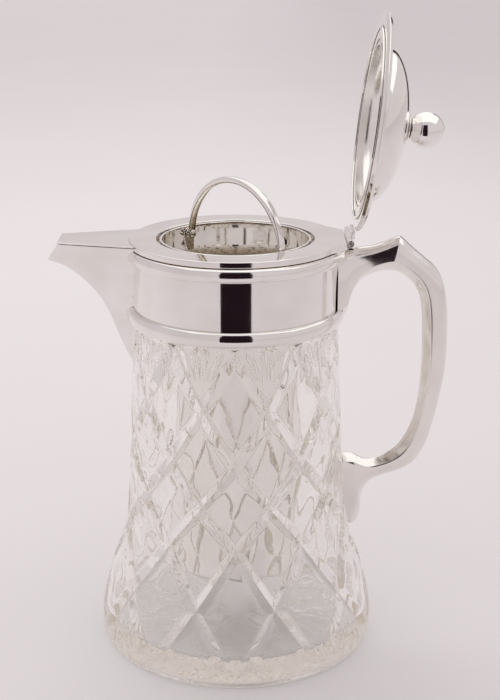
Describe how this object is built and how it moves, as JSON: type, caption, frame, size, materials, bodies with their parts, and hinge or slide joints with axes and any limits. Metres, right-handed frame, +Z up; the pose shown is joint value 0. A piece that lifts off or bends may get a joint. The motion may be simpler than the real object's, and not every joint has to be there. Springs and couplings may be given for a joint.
{
  "type": "lidded glass jug with ice tube",
  "caption": "Bell-shaped cut-glass jug with a silver-plated collar, V spout, hollow handle, hinged domed lid and a lift-out ice tube with a swing bail.",
  "frame": {"origin": "centre of the glass underside, on the jug's vertical axis", "axes": "+Z up, +X towards the handle and hinge, -X towards the spout"},
  "size_m": [0.2423, 0.1724, 0.3879],
  "materials": {
    "cut_glass": "clear polished mitre-cut crystal",
    "plaster_cement": "set plaster, matt",
    "silver_plate": "bright polished silver plate",
    "silver_liner": "polished silver plate, lightly brushed inside",
    "plated_fastener": "silver-plated brass, polished"
  },
  "bodies": {
    "jug": {"glass_body": "cut_glass", "neck_cement": "plaster_cement", "collar_band": "silver_plate", "upper_moulding": "silver_plate", "lower_moulding": "silver_plate", "top_flange": "silver_plate", "ice_tube_seat": "silver_plate", "spout_shell": "silver_plate", "spout_cover": "silver_plate", "handle": "silver_plate", "hinge_bracket": "silver_plate", "hinge_knuckle_front": "silver_plate", "hinge_knuckle_rear": "silver_plate", "hinge_pin": "plated_fastener"},
    "lid": {"lid_rim": "silver_plate", "lid_seat_ring": "silver_plate", "lid_dome": "silver_plate", "lid_knuckle": "silver_plate", "finial_neck": "silver_plate", "finial_ball": "silver_plate", "finial_stud": "plated_fastener", "finial_nut": "plated_fastener"},
    "ice_tube": {"ice_tube": "silver_liner", "bail_lug_1": "silver_liner", "bail_lug_2": "silver_liner", "bail_rivet_1": "plated_fastener", "bail_rivet_2": "plated_fastener"},
    "bail": {"bail": "silver_liner"}
  },
  "joints": [
    {"name": "lid_hinge", "type": "hinge", "parent": "jug", "child": "lid", "pos_m": [0.068, 0, 0.257], "axis": [0, -1, 0], "range_deg": [0, 97]},
    {"name": "ice_tube_lift", "type": "slide", "parent": "jug", "child": "ice_tube", "axis": [0, 0, 1], "range_m": [0, 0.27]},
    {"name": "bail_swing", "type": "hinge", "parent": "ice_tube", "child": "bail", "pos_m": [0, 0, 0.252], "axis": [0.6628, -0.7488, 0], "range_deg": [0, 90]}
  ],
  "couplings": [
    {"joint": "bail_swing", "follows": "lid_hinge", "ratio": 0.9278}
  ]
}
